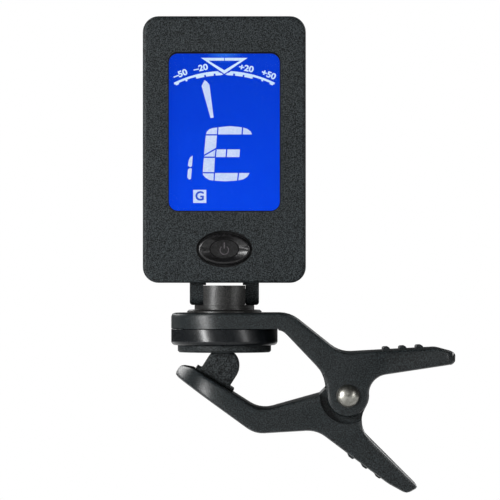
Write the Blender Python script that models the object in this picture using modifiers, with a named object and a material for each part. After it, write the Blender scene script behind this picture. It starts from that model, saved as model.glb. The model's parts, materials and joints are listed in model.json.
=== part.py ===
"""Clip-on instrument tuner: a display head on a tilting, swivelling neck, carried by a spring clip.

Frame: +Z is up, the display faces -Y and the clip's handles reach along +X.
The origin is the middle of the upper jaw pad's lower face.
Lengths below are in millimetres, and the helper functions turn them into Blender's metres.
"""
import math

import bmesh
import bpy
from mathutils import Matrix, Vector

MM = 0.001
ARC_STEP = 10.0
WELD = 1e-6
TURNED_STEPS = 32
FINE_STEPS = 24
ORIGIN = (0.0, 0.0, 0.0)

# How far blanks and cutters reach past the shape they make
PAST = 3.0
FAR = 70.0

# Clip arms
CLIP_HALF_WIDTH = 10.15
ARM_EDGE = 0.7
DISC_TOP = 7.54
DISC_UNDER = 4.55
DISC_BLANK_UNDER = 3.7
DISC_FLAT_END = 7.0
DISC_CUT_END = 10.3
PIVOT = (23.4, -8.1)
HUB_RADIUS = 4.0
HUB_RECESS_RADIUS = 5.35
UPPER_CHEEK_INNER = 8.25
LOWER_CHEEK_OUTER = 8.1
LOWER_CHEEK_INNER = 6.2
SPRING_CHANNEL_HALF = 5.6
JAW_SLOPE = 32.5
JAW_TOP = (-5.95, -2.8)
JAW_END_CENTRE = (-0.52, -8.93)
HANDLE_SLOPE = 40.5
HANDLE_ROOT = (22.0, -14.0)
HANDLE_TAPER_START = 29.5
HANDLE_TAPER_RADIUS = 14.0
HANDLE_TIP_X = 44.1
HANDLE_TIP_HALF_WIDTH = 7.0
HANDLE_TIP_CORNER = 2.6
LOWER_TAPER_START = 6.0
LOWER_TAPER_END = 20.2
LOWER_TIP_HALF_WIDTH = 6.6
LOWER_HUB_ARC = (-29, 135)
JAW_PLAN_ARC = (88, 272)
RIB_COUNT = 3
RIB_PITCH = 3.15
RIB_HEIGHT = 0.6
RIB_SINK = 0.5
RIB_WIDTH = 1.3
RIB_CORNER = 0.35
RIB_HALF_LENGTH = 6.4
UPPER_RIB_START = 30.8
LOWER_RIB_START = (24.27, -19.45)
LOWER_RIB_SLOPE = 35.9

# Side outlines of the arms: x, z and the radius that rounds each corner
HANDLE_VALLEY = (22.17, -0.03, 5.7)
HANDLE_CREST = (40.4, 1.0, 3.0)
UPPER_ARM_TOP = [
    (12.63, DISC_TOP, 6.0),
    HANDLE_VALLEY,
    HANDLE_CREST,
    (43.9, 0.05, 0.9),
    (43.8, -2.15, 0.9),
]
UPPER_ARM_HUB = [
    (PIVOT[0] + HUB_RADIUS, -4.55, 3.7),
    (PIVOT[0] + HUB_RADIUS, PIVOT[1] - HUB_RADIUS, HUB_RADIUS),
    (PIVOT[0] - HUB_RADIUS, PIVOT[1] - HUB_RADIUS, HUB_RADIUS),
    (PIVOT[0] - HUB_RADIUS, -4.5, 7.2),
    (10.8, DISC_UNDER, 2.4),
]
UPPER_CHEEK_POCKET = [
    (17.5, -3.9, 0),
    (20.4, -3.9, 0.8),
    (21.8, -1.7, 0.8),
    (30.2, -1.2, 0.8),
    (30.6, -6.0, 0),
    (28.5, -13.5, 0),
    (17.5, -13.5, 0),
]
UPPER_SPRING_CHANNEL = [
    (28.0, -1.3, 0),
    (40.2, -0.55, 0.8),
    (41.2, -1.6, 0.5),
    (41.2, -6.0, 0),
    (28.0, -8.0, 0),
]
LOWER_ARM_OUTSIDE = [
    (*JAW_TOP, 0),
    (-12.5, -1.4, 0),
    (-12.5, -2.05, 0),
    (5.78, -15.3, 5.1),
    (17.5, -14.6, 5.5),
    (31.0, -24.75, 6.0),
    (34.6, -26.75, 0),
    (36.9, -25.5, 0),
    (25.0, -13.65, 4.5),
]
LOWER_ARM_INSIDE = [
    (18.2, -7.85, 1.2),
    (6.97, -11.0, 5.3),
]
LOWER_SPRING_POCKET = [
    (19.2, -3.0, 0),
    (19.2, -13.3, 0.8),
    (31.2, -22.1, 0.6),
    (34.5, -18.8, 0),
    (30.0, -3.0, 0),
]

# Jaw faces
PAD_RADIUS = 8.9
PAD_HEIGHT = 1.6
PAD_EDGE = 0.3
PAD_SIDE_FIT = 0.15
PAD_BACK_FIT = 0.1
COVER_BOTTOM = 1.35
COVER_TOP = 4.5
COVER_EDGE = 0.8
COVER_RIM_EDGE = 0.12
COVER_FLOOR = 2.9
SPIGOT_INNER = 7.3
SPIGOT_OUTER = 8.25
SPIGOT_TOP = 5.2
FOOT_HALF_LENGTH = 6.5
FOOT_TIP_RADIUS = 3.2
FOOT_MIDDLE = 4.6
FOOT_TOP = 6.45
FOOT_PLATE_START = 0.5
FOOT_PLATE_END = 8.85
FOOT_PLATE_BOTTOM = 0.1
FOOT_PLATE_TOP = 0.75
FOOT_PLATE_CORNER = 0.2
FOOT_HEEL_RADIUS = 0.1
FOOT_ROOT_RADIUS = 0.3
FOOT_EDGE = 0.4
FOOT_GAP = 0.12

# Pivot rivet and torsion spring
RIVET_RADIUS = 1.5
RIVET_HOLE = 1.57
RIVET_HEAD_RADIUS = 2.2
RIVET_DOME = 1.45
RIVET_DOME_STEPS = 8
RIVET_SEAT = CLIP_HALF_WIDTH + 0.06
RIVET_TAIL_RADIUS = 2.1
RIVET_TAIL_FACE = 1.7
RIVET_TAIL_RIM = 0.4
RIVET_TAIL_HEIGHT = 0.7
COIL_RADIUS = 2.7
WIRE_RADIUS = 0.5
COIL_HALF_LENGTH = 4.2
COIL_TURNS = 6
COIL_STEPS = 12
UPPER_LEG_END = (38.5, -1.35)
LOWER_LEG_END = (30.3, -20.6)

# Swivel
STEM_RADIUS = 3.0
STEM_BOTTOM = 5.35
STEM_HOLE = 3.08
STEM_BORE_TOP = 8.8
WASHER_RADIUS = 5.0
WASHER_BOTTOM = 4.75
WASHER_TOP = 5.2
FRICTION_INNER = 3.3
FRICTION_OUTER = 4.8
FRICTION_BOTTOM = 5.3
FRICTION_TOP = 5.5
SWIVEL_SCREW_TIP = 8.6
SWIVEL_SCREW_SEAT = 4.65
SWIVEL_SCREW_FACE = 3.7
SWIVEL_SCREW_HEAD = 1.9
SWIVEL_SCREW_EDGE = 0.3
SWIVEL_CROSS_LENGTH = 2.2
SWIVEL_CROSS_WIDTH = 0.5
SWIVEL_CROSS_DEPTH = 0.5
FLANGE_RADIUS = 7.1
FLANGE_FIT = 0.2
FLANGE_SEAT = 7.29
FLANGE_BOTTOM = 7.42
FLANGE_EDGE = 0.35
FLANGE_RIM_TOP = 7.85
FLANGE_TOP = 8.11
COLLAR_FOOT = 8.15
COLLAR_EDGE = 0.1
COLLAR_RADIUS = 5.7
COLLAR_TOP = 9.05
COLLAR_BACK_TOP = 8.75
SWIVEL_CAVITY_RADIUS = 8.4
SWIVEL_CAVITY_TOP = 5.6

# Tilt hinge
TILT_Z = 10.68
TONGUE_RADIUS = 2.05
TONGUE_HALF_WIDTH = 4.0
TONGUE_FRONT = 5.67
TONGUE_BACK = 3.96
TONGUE_FRONT_CORNER = 0.35
TONGUE_ROOT = 7.95
TILT_BACK = 50.0
EAR_RADIUS = 1.68
EAR_SADDLE_FIT = 0.12
EAR_INNER = 4.03
EAR_OUTER = 6.6
EAR_CORNER = 0.6
EAR_WEB_INNER = 3.5
EAR_WEB_BOTTOM = 12.8
EAR_WEB_BACK = 1.4
EAR_LAP = 0.3
HINGE_BOSS_RADIUS = 1.4
HINGE_BOSS_HEIGHT = 0.3
HINGE_BOSS_FIT = 0.06
HINGE_PIN_RADIUS = 0.8
HINGE_PIN_HOLE = 0.86

# Head
HEAD_WIDTH = 31.0
HEAD_HEIGHT = 50.7
HEAD_BOTTOM = 13.25
HEAD_MIDDLE = HEAD_BOTTOM + HEAD_HEIGHT / 2
HEAD_FRONT = -5.0
HEAD_BACK = 5.0
HEAD_CORNER = 3.0
FRONT_EDGE = 0.6
BACK_EDGE = 1.6
WALL = 1.2
CASE_LAP = 0.2
LIP_STEP = 0.1
FRONT_CASE_BACK = -2.0
REAR_CASE_FRONT = -1.9
FRONT_INNER = HEAD_FRONT + WALL
REAR_INNER = HEAD_BACK - WALL
LIP_INSET = 1.28
LIP_ROOT = 1.0
LIP_THICKNESS = 0.5
LIP_BACK = -1.2

# Display
WINDOW_WIDTH = 21.05
WINDOW_HEIGHT = 29.85
WINDOW_MIDDLE = 41.9
WINDOW_CORNER = 1.7
LENS_FRONT = -4.4
LENS_THICKNESS = 0.8
LENS_WIDTH = 22.8
LENS_HEIGHT = 31.4
LENS_CORNER = 0.4
LENS_FIT = 0.1
LENS_GLUE = 0.05
GLASS_FRONT = -3.45
GLASS_SPLIT = -2.75
GLASS_BACK = -2.05
GLASS_HALF_WIDTH = 11.5
GLASS_TOP = 58.5
GLASS_LEDGE = 27.5
GLASS_BOTTOM = 25.6
GLASS_LAP = 0.2

# Button and its switch
BUTTON_Z = 19.68
BUTTON_HALF_WIDTH = 5.05
BUTTON_HALF_HEIGHT = 3.0
BUTTON_HOLE_HALF_WIDTH = 5.35
BUTTON_HOLE_HALF_HEIGHT = 3.5
BUTTON_FLANGE_MARGIN = 1.0
BUTTON_FRONT = -5.3
DISH_HALF_WIDTH = 4.55
DISH_HALF_HEIGHT = 2.5
DISH_FLOOR_HALF_WIDTH = 2.8
DISH_FLOOR_HALF_HEIGHT = 1.9
DISH_DEPTH = 0.65
SWITCH_HALF = 2.25
PLUNGER_RADIUS = 0.9

# Circuit board and battery
BOARD_FRONT = -0.8
BOARD_BACK = 0.0
BOARD_FIT = 0.1
BOARD_HOLE = 1.05
BOARD_CORNER = 1.5
BOARD_HALF_WIDTH = 13.6
BOARD_BOTTOM = 15.4
BOARD_TOP = 61.8
BATTERY_RADIUS = 10.0
BATTERY_THICKNESS = 3.2
BATTERY_FRONT = 0.4
BATTERY_Z = 44.5
TRAY_INNER = 10.25
TRAY_OUTER = 11.2
CONTACT_WIDTH = 4.0
CONTACT_THICKNESS = 0.2
CONTACT_FIT = 0.08
LEAF_FRONT = 0.1
LEAF_HALF_LENGTH = 8.5
CLIP_BACK = 3.3
CLIP_FOOT_LENGTH = 2.9
PIEZO_Z = 23.5
WIRE_CORE = 0.28
RED_WIRE_ROUTE = [(0, 2.95, 24), (1.2, 2.5, 23.2), (2.2, 1.6, 21.6), (2.6, 0.4, 19.8)]
BLACK_WIRE_ROUTE = [(-5.9, 3.2, 24), (-5.4, 2.6, 22.4), (-4.6, 1.6, 20.8), (-4, 0.4, 19.6)]

# Case screws
SCREW_X = 12.6
SCREW_Z = 22.3
COLUMN_RADIUS = 2.0
BOSS_RADIUS = 1.6
BOSS_SINK = 0.4
PILOT_FRONT = -3.3
SCREW_SHANK = 0.8
SCREW_PILOT = 0.87
SCREW_CLEARANCE = 0.95
SCREW_HEAD = 1.5
SCREW_HEAD_FIT = 0.12
SCREW_HEAD_EDGE = 0.4
SCREW_SEAT = 4.0
SCREW_HEAD_UNDER = 4.1
SCREW_BACK = 4.85
SCREW_BACK_RIM = 4.6
SCREW_TIP = -3.0
SCREW_SHANK_END = -2.6
CROSS_LENGTH = 1.9
CROSS_WIDTH = 0.4
CROSS_DEPTH = 0.35

# Battery door
DOOR_BOTTOM = 33.6
DOOR_HALF_WIDTH = 10.5
DOOR_LIP_HALF_WIDTH = 11.0
DOOR_INNER = 3.75
DOOR_STEP = 4.15
DOOR_GAP = 0.12
GRIP_COUNT = 4
GRIP_START = 36.4
GRIP_PITCH = 1.5
GRIP_WIDTH = 0.7
GRIP_DEPTH = 0.35
GRIP_HALF_LENGTH = 4.5

# Part colours: base colour, roughness, metallic
FINISHES = {
    "shell_plastic": ((0.022, 0.024, 0.025), 0.55, 0.0),
    "arm_plastic": ((0.020, 0.022, 0.023), 0.5, 0.0),
    "cover_plastic": ((0.015, 0.017, 0.019), 0.3, 0.0),
    "button_rubber": ((0.025, 0.027, 0.029), 0.6, 0.0),
    "pad_rubber": ((0.018, 0.018, 0.019), 0.75, 0.0),
    "lens_acrylic": ((0.80, 0.85, 0.95), 0.05, 0.0),
    "display_glass": ((0.01, 0.05, 0.65), 0.1, 0.0),
    "light_guide": ((0.55, 0.70, 0.95), 0.3, 0.0),
    "led_white": ((0.85, 0.88, 0.80), 0.4, 0.0),
    "zebra_rubber": ((0.45, 0.35, 0.36), 0.6, 0.0),
    "circuit_board": ((0.02, 0.17, 0.07), 0.45, 0.0),
    "component_black": ((0.02, 0.02, 0.02), 0.4, 0.0),
    "switch_metal": ((0.62, 0.62, 0.60), 0.35, 0.9),
    "contact_metal": ((0.68, 0.62, 0.45), 0.3, 1.0),
    "steel": ((0.66, 0.66, 0.65), 0.22, 1.0),
    "spring_steel": ((0.50, 0.50, 0.50), 0.3, 1.0),
    "brass": ((0.72, 0.55, 0.22), 0.3, 1.0),
    "ceramic": ((0.82, 0.80, 0.74), 0.5, 0.0),
    "wire_red": ((0.60, 0.03, 0.02), 0.45, 0.0),
    "wire_black": ((0.02, 0.02, 0.02), 0.45, 0.0),
}

# Local frames of flat outlines: the outline's x and y axes, and the direction of its thickness
FRONT_PLANE = Matrix.Rotation(math.radians(90), 4, "X")
SIDE_PLANE = Matrix(((0, 0, 1, 0), (1, 0, 0, 0), (0, 1, 0, 0), (0, 0, 0, 1)))
TOP_PLANE = Matrix.Identity(4)

# Turns a shape made along +Z so that it runs along +Y, -Y or +X
ALONG = {
    "+Z": Matrix.Identity(4),
    "+Y": Matrix.Rotation(math.radians(-90), 4, "X"),
    "-Y": Matrix.Rotation(math.radians(90), 4, "X"),
    "+X": Matrix.Rotation(math.radians(90), 4, "Y"),
}


def clear_scene():
    for old in list(bpy.data.objects):
        bpy.data.objects.remove(old, do_unlink=True)


def new_collection(name):
    collection = bpy.data.collections.new(name)
    bpy.context.scene.collection.children.link(collection)
    return collection


clear_scene()
PARTS = new_collection("clip_on_tuner")
CUTTERS = new_collection("cutters")


# ---------------------------------------------------------------- outlines


def arc(centre, radius, start_deg, end_deg):
    """Points on a circle from one angle to another, both ends included."""
    count = max(1, math.ceil(abs(end_deg - start_deg) / ARC_STEP))
    points = []
    for step in range(count + 1):
        angle = math.radians(start_deg + (end_deg - start_deg) * step / count)
        points.append((centre[0] + radius * math.cos(angle), centre[1] + radius * math.sin(angle)))
    return points


def rounded(corners):
    """Closed outline through (x, y, radius) corners, each replaced by an arc of its radius."""
    points = []
    for index, (x, y, radius) in enumerate(corners):
        here = Vector((x, y))
        back = Vector(corners[index - 1][:2]) - here
        ahead = Vector(corners[(index + 1) % len(corners)][:2]) - here
        back.normalize()
        ahead.normalize()
        if radius == 0:
            points.append((x, y))
            continue
        half = back.angle(ahead) / 2
        reach = radius / math.tan(half)
        centre = here + (back + ahead).normalized() * radius / math.sin(half)
        first = here + back * reach - centre
        last = here + ahead * reach - centre
        turn = math.atan2(first.cross(last), first.dot(last))
        begin = math.degrees(math.atan2(first.y, first.x))
        points.extend(arc(centre, radius, begin, begin + math.degrees(turn)))
    outline = []
    for point in points:
        if not outline or math.dist(point, outline[-1]) > 1e-4:
            outline.append(point)
    if math.dist(outline[0], outline[-1]) < 1e-4:
        outline.pop()
    return outline


def hub_corners(centre, radius, start_deg, end_deg, count):
    """Corners whose rounded outline follows a circle between two tangent directions.

    Their own radius is a little smaller, so that neighbouring arcs never overlap.
    """
    step = (end_deg - start_deg) / count
    reach = radius / math.cos(math.radians(step / 2))
    corner_radius = 0.97 * radius
    corners = []
    for index in range(count):
        angle = math.radians(start_deg + step * (index + 0.5))
        x = centre[0] + reach * math.cos(angle)
        y = centre[1] + reach * math.sin(angle)
        corners.append((x, y, corner_radius))
    return corners


def rectangle(centre, width, height, radius=0.0):
    x, y = centre
    w, h = width / 2, height / 2
    corners = [(x - w, y - h), (x + w, y - h), (x + w, y + h), (x - w, y + h)]
    return rounded([(*corner, radius) for corner in corners])


def ellipse(centre, half_width, half_height, count=TURNED_STEPS):
    points = []
    for step in range(count):
        angle = 2 * math.pi * step / count
        points.append((centre[0] + half_width * math.cos(angle), centre[1] + half_height * math.sin(angle)))
    return points


# ---------------------------------------------------------------- solids


def new_object(name, data, placement=None):
    made = bpy.data.objects.new(name, data)
    PARTS.objects.link(made)
    if placement is not None:
        made.matrix_world = placement
    return made


def placed(frame, offset):
    """The frame's rotation with its origin moved to an offset in millimetres."""
    return Matrix.Translation(Vector(offset) * MM) @ frame


def curve_to_mesh(name, curve, placement):
    """Mesh object of a filled flat curve, its caps welded to its walls and made one face each."""
    flat = new_object(name + "_outline", curve, placement)
    graph = bpy.context.evaluated_depsgraph_get()
    mesh = bpy.data.meshes.new_from_object(flat.evaluated_get(graph))
    matrix = flat.matrix_world.copy()
    bpy.data.objects.remove(flat, do_unlink=True)
    shape = bmesh.new()
    shape.from_mesh(mesh)
    bmesh.ops.remove_doubles(shape, verts=shape.verts, dist=WELD)
    bmesh.ops.dissolve_limit(shape, angle_limit=math.radians(0.5), verts=[], edges=shape.edges)
    bmesh.ops.recalc_face_normals(shape, faces=shape.faces)
    shape.to_mesh(mesh)
    shape.free()
    mesh.materials.clear()
    return new_object(name, mesh, matrix)


def prism(name, outline, plane, low, high):
    """Solid with a flat outline, from low to high along the plane's thickness direction."""
    curve = bpy.data.curves.new(name, "CURVE")
    curve.dimensions = "2D"
    curve.fill_mode = "BOTH"
    curve.extrude = (high - low) / 2 * MM
    spline = curve.splines.new("POLY")
    spline.points.add(len(outline) - 1)
    for point, (x, y) in zip(spline.points, outline):
        point.co = (x * MM, y * MM, 0.0, 1.0)
    spline.use_cyclic_u = True
    middle = plane.to_3x3() @ Vector((0, 0, (low + high) / 2))
    return curve_to_mesh(name, curve, Matrix.Translation(middle * MM) @ plane)


def front_prism(name, outline, low_y, high_y):
    """Solid with an (x, z) outline between two depths along Y."""
    return prism(name, outline, FRONT_PLANE, -high_y, -low_y)


def tapered(name, front_outline, front_y, back_outline, back_y):
    """Solid between two outlines with equally many points, one in front of the other."""
    mesh = bpy.data.meshes.new(name)
    shape = bmesh.new()
    front = [shape.verts.new((x * MM, front_y * MM, z * MM)) for x, z in front_outline]
    back = [shape.verts.new((x * MM, back_y * MM, z * MM)) for x, z in back_outline]
    shape.faces.new(front)
    shape.faces.new(back)
    count = len(front)
    for index in range(count):
        following = (index + 1) % count
        shape.faces.new((front[index], front[following], back[following], back[index]))
    bmesh.ops.recalc_face_normals(shape, faces=shape.faces)
    shape.to_mesh(mesh)
    shape.free()
    return new_object(name, mesh)


def side_prism(name, outline, low_x, high_x):
    """Solid with a (y, z) outline between two places along X."""
    return prism(name, outline, SIDE_PLANE, low_x, high_x)


def top_prism(name, outline, low_z, high_z):
    """Solid with an (x, y) outline between two heights."""
    return prism(name, outline, TOP_PLANE, low_z, high_z)


def turned(name, profile, axis="+Z", centre=ORIGIN, closed=False, steps=TURNED_STEPS):
    """Turned solid: (radius, height) points down the outer side, swept about the axis."""
    mesh = bpy.data.meshes.new(name)
    points = [(radius * MM, 0.0, height * MM) for radius, height in profile]
    edges = [(index, index + 1) for index in range(len(points) - 1)]
    if closed:
        edges.append((len(points) - 1, 0))
    mesh.from_pydata(points, edges, [])
    made = new_object(name, mesh, placed(ALONG[axis], centre))
    screw = made.modifiers.new("turn", "SCREW")
    screw.steps = steps
    screw.render_steps = steps
    screw.use_merge_vertices = True
    screw.merge_threshold = WELD
    screw.use_smooth_shade = True
    return made


def cylinder(name, radius, low, high, axis="+Z", centre=ORIGIN, sides=TURNED_STEPS):
    mesh = bpy.data.meshes.new(name)
    shape = bmesh.new()
    shift = Matrix.Translation((0, 0, (low + high) / 2 * MM))
    bmesh.ops.create_cone(
        shape,
        cap_ends=True,
        segments=sides,
        radius1=radius * MM,
        radius2=radius * MM,
        depth=(high - low) * MM,
        matrix=shift,
    )
    shape.to_mesh(mesh)
    shape.free()
    return new_object(name, mesh, placed(ALONG[axis], centre))


def boxes(name, spans):
    """Separate boxes in one object, each given by its lowest and highest corner."""
    mesh = bpy.data.meshes.new(name)
    shape = bmesh.new()
    for low, high in spans:
        low = Vector(low)
        high = Vector(high)
        placement = Matrix.Translation((low + high) / 2 * MM) @ Matrix.Diagonal((high - low) * MM).to_4x4()
        bmesh.ops.create_cube(shape, size=1.0, matrix=placement)
    shape.to_mesh(mesh)
    shape.free()
    return new_object(name, mesh)


def box(name, low, high):
    return boxes(name, [(low, high)])


def tube(name, points, radius, bevel_resolution=1):
    """Round wire through a list of points, closed at both ends."""
    curve = bpy.data.curves.new(name, "CURVE")
    curve.dimensions = "3D"
    curve.bevel_depth = radius * MM
    curve.bevel_resolution = bevel_resolution
    curve.use_fill_caps = True
    spline = curve.splines.new("POLY")
    spline.points.add(len(points) - 1)
    for point, place in zip(spline.points, points):
        point.co = (*(Vector(place) * MM), 1.0)
    return new_object(name, curve)


# ---------------------------------------------------------------- shaping


def boolean(target, tool, operation, solver="EXACT"):
    modifier = target.modifiers.new(operation.lower(), "BOOLEAN")
    modifier.operation = operation
    modifier.solver = solver
    modifier.object = tool
    if tool.name not in CUTTERS.objects:
        PARTS.objects.unlink(tool)
        CUTTERS.objects.link(tool)
    tool.hide_render = True
    tool.display_type = "WIRE"


def cut(target, tool, solver="EXACT"):
    boolean(target, tool, "DIFFERENCE", solver)


def join(target, tool, solver="EXACT"):
    boolean(target, tool, "UNION", solver)


def keep_inside(target, tool):
    boolean(target, tool, "INTERSECT")


def round_edges(target, width, segments=2, angle_deg=40):
    modifier = target.modifiers.new("round_edges", "BEVEL")
    modifier.width = width * MM
    modifier.segments = segments
    modifier.limit_method = "ANGLE"
    modifier.angle_limit = math.radians(angle_deg)
    modifier.use_clamp_overlap = False


def make_material(name):
    colour, roughness, metallic = FINISHES[name]
    material = bpy.data.materials.new(name)
    material.use_nodes = True
    shader = material.node_tree.nodes["Principled BSDF"]
    shader.inputs["Base Color"].default_value = (*colour, 1.0)
    shader.inputs["Roughness"].default_value = roughness
    shader.inputs["Metallic"].default_value = metallic
    return material


def finish(part, material_name, pivot):
    """Gives a part its own material and hangs it on the empty of the group it moves with."""
    material = make_material(material_name)
    material.name = part.name + "_" + material_name
    part.data.materials.append(material)
    matrix = part.matrix_world.copy()
    part.parent = pivot
    part.matrix_parent_inverse = pivot.matrix_world.inverted()
    part.matrix_world = matrix


def new_pivot(name, place, parent=None):
    """Empty that marks a moving group's joint axis."""
    pivot = bpy.data.objects.new(name, None)
    pivot.empty_display_size = 5 * MM
    PARTS.objects.link(pivot)
    pivot.location = Vector(place) * MM
    bpy.context.view_layer.update()
    if parent is not None:
        pivot.parent = parent
        pivot.matrix_parent_inverse = parent.matrix_world.inverted()
    bpy.context.view_layer.update()
    return pivot


# ---------------------------------------------------------------- clip


def plan_frame(slope_deg, centre):
    """Frame of an outline seen square to a surface that runs down along +X at a slope."""
    turn = Matrix.Rotation(math.radians(slope_deg), 4, "Y")
    return placed(turn, (centre[0], 0.0, centre[1]))


def plan_prism(name, outline, slope_deg, centre, half_height):
    made = prism(name, outline, TOP_PLANE, -half_height, half_height)
    made.matrix_world = plan_frame(slope_deg, centre) @ made.matrix_world
    return made


def rib(name, centre, slope_deg):
    """Finger rib: a low rounded bar across a handle, sunk a little into its surface."""
    outline = rectangle((0.0, (RIB_HEIGHT - RIB_SINK) / 2), RIB_WIDTH, RIB_HEIGHT + RIB_SINK, RIB_CORNER)
    made = front_prism(name, outline, -RIB_HALF_LENGTH, RIB_HALF_LENGTH)
    made.matrix_world = plan_frame(slope_deg, centre) @ made.matrix_world
    return made


def make_upper_arm(pivot):
    half = CLIP_HALF_WIDTH
    blank = [(-half - PAST, DISC_TOP, 0)] + UPPER_ARM_TOP + UPPER_ARM_HUB
    blank += [(DISC_FLAT_END, DISC_BLANK_UNDER, 0), (-half - PAST, DISC_BLANK_UNDER, 0)]
    arm = front_prism("upper_arm", rounded(blank), -half - PAST, half + PAST)
    plan = rounded([
        (-half, -half, half),
        (HANDLE_TAPER_START, -half, HANDLE_TAPER_RADIUS),
        (HANDLE_TIP_X, -HANDLE_TIP_HALF_WIDTH, HANDLE_TIP_CORNER),
        (HANDLE_TIP_X, HANDLE_TIP_HALF_WIDTH, HANDLE_TIP_CORNER),
        (HANDLE_TAPER_START, half, HANDLE_TAPER_RADIUS),
        (-half, half, half),
    ])
    keep_inside(arm, top_prism("upper_arm_plan", plan, -FAR, FAR))
    round_edges(arm, ARM_EDGE)
    valley = Vector(HANDLE_VALLEY[:2])
    along = Vector(HANDLE_CREST[:2]) - valley
    rise_deg = math.degrees(math.atan2(along.y, along.x))
    for index in range(RIB_COUNT):
        x = UPPER_RIB_START + RIB_PITCH * index
        place = valley + along * (x - valley.x) / along.x
        join(arm, rib("upper_rib_%d" % index, place, -rise_deg), "MANIFOLD")
    low = (-half - PAST, -half - PAST, 0)
    high = (DISC_CUT_END, half + PAST, DISC_UNDER)
    cut(arm, box("disc_underside", low, high), "MANIFOLD")
    pockets = {
        "upper_cheek_pocket": (UPPER_CHEEK_POCKET, UPPER_CHEEK_INNER),
        "upper_spring_channel": (UPPER_SPRING_CHANNEL, SPRING_CHANNEL_HALF),
    }
    for name, (corners, reach) in pockets.items():
        cut(arm, front_prism(name, rounded(corners), -reach, reach), "MANIFOLD")
    centre = (PIVOT[0], 0, PIVOT[1])
    cut(arm, cylinder("upper_rivet_hole", RIVET_HOLE, -half - PAST, half + PAST, "+Y", centre), "MANIFOLD")
    swivel_hole = [
        (0, DISC_TOP + PAST),
        (FLANGE_RADIUS + FLANGE_FIT, DISC_TOP + PAST),
        (FLANGE_RADIUS + FLANGE_FIT, FLANGE_SEAT),
        (STEM_HOLE, FLANGE_SEAT),
        (STEM_HOLE, SWIVEL_CAVITY_TOP),
        (SWIVEL_CAVITY_RADIUS, SWIVEL_CAVITY_TOP),
        (SWIVEL_CAVITY_RADIUS, DISC_UNDER - PAST),
        (0, DISC_UNDER - PAST),
    ]
    cut(arm, turned("swivel_hole", swivel_hole), "MANIFOLD")
    finish(arm, "arm_plastic", pivot)


def make_disc_cover(pivot):
    """Cup under the disc, with a spigot that centres it and a recess for the pad."""
    radius = CLIP_HALF_WIDTH
    recess = PAD_RADIUS + PAD_SIDE_FIT
    profile = [
        (0, COVER_FLOOR),
        (SPIGOT_INNER, COVER_FLOOR),
        (SPIGOT_INNER, SPIGOT_TOP),
        (SPIGOT_OUTER, SPIGOT_TOP),
        (SPIGOT_OUTER, COVER_TOP),
        (radius - COVER_RIM_EDGE, COVER_TOP),
        (radius, COVER_TOP - COVER_RIM_EDGE),
    ]
    profile += arc((radius - COVER_EDGE, COVER_BOTTOM + COVER_EDGE), COVER_EDGE, 0, -90)
    profile += [(recess, COVER_BOTTOM), (recess, PAD_HEIGHT + PAD_BACK_FIT), (0, PAD_HEIGHT + PAD_BACK_FIT)]
    finish(turned("disc_cover", profile), "cover_plastic", pivot)


def make_upper_pad(pivot):
    radius = PAD_RADIUS
    profile = [(0, PAD_HEIGHT), (radius, PAD_HEIGHT), (radius, PAD_EDGE), (radius - PAD_EDGE, 0), (0, 0)]
    finish(turned("upper_pad", profile), "pad_rubber", pivot)


def make_lower_arm(pivot):
    half = CLIP_HALF_WIDTH
    corners = LOWER_ARM_OUTSIDE + hub_corners(PIVOT, HUB_RADIUS, *LOWER_HUB_ARC, 2) + LOWER_ARM_INSIDE
    arm = front_prism("lower_arm", rounded(corners), -half - PAST, half + PAST)
    jaw_plan = arc((0, 0), half, *JAW_PLAN_ARC)
    jaw_plan += [(FAR, -half - PAST), (FAR, half + PAST)]
    keep_inside(arm, plan_prism("lower_jaw_plan", jaw_plan, JAW_SLOPE, JAW_END_CENTRE, FAR))
    handle_plan = [
        (-FAR, -half),
        (LOWER_TAPER_START, -half),
        (LOWER_TAPER_END, -LOWER_TIP_HALF_WIDTH),
        (LOWER_TAPER_END, LOWER_TIP_HALF_WIDTH),
        (LOWER_TAPER_START, half),
        (-FAR, half),
    ]
    keep_inside(arm, plan_prism("lower_handle_plan", handle_plan, HANDLE_SLOPE, HANDLE_ROOT, FAR))
    round_edges(arm, ARM_EDGE)
    slope = math.radians(LOWER_RIB_SLOPE)
    along = Vector((math.cos(slope), -math.sin(slope)))
    for index in range(RIB_COUNT):
        place = Vector(LOWER_RIB_START) + along * RIB_PITCH * index
        join(arm, rib("lower_rib_%d" % index, place, LOWER_RIB_SLOPE + 180), "MANIFOLD")
    pocket = rounded(LOWER_SPRING_POCKET)
    cut(arm, front_prism("lower_spring_pocket", pocket, -LOWER_CHEEK_INNER, LOWER_CHEEK_INNER), "MANIFOLD")
    centre = (PIVOT[0], 0, PIVOT[1])
    for side, axis in (("front", "-Y"), ("back", "+Y")):
        recess = cylinder(side + "_recess", HUB_RECESS_RADIUS, LOWER_CHEEK_OUTER, half + PAST, axis, centre)
        cut(arm, recess, "MANIFOLD")
    cut(arm, cylinder("lower_rivet_hole", RIVET_HOLE, -half - PAST, half + PAST, "+Y", centre), "MANIFOLD")
    finish(arm, "arm_plastic", pivot)


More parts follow.
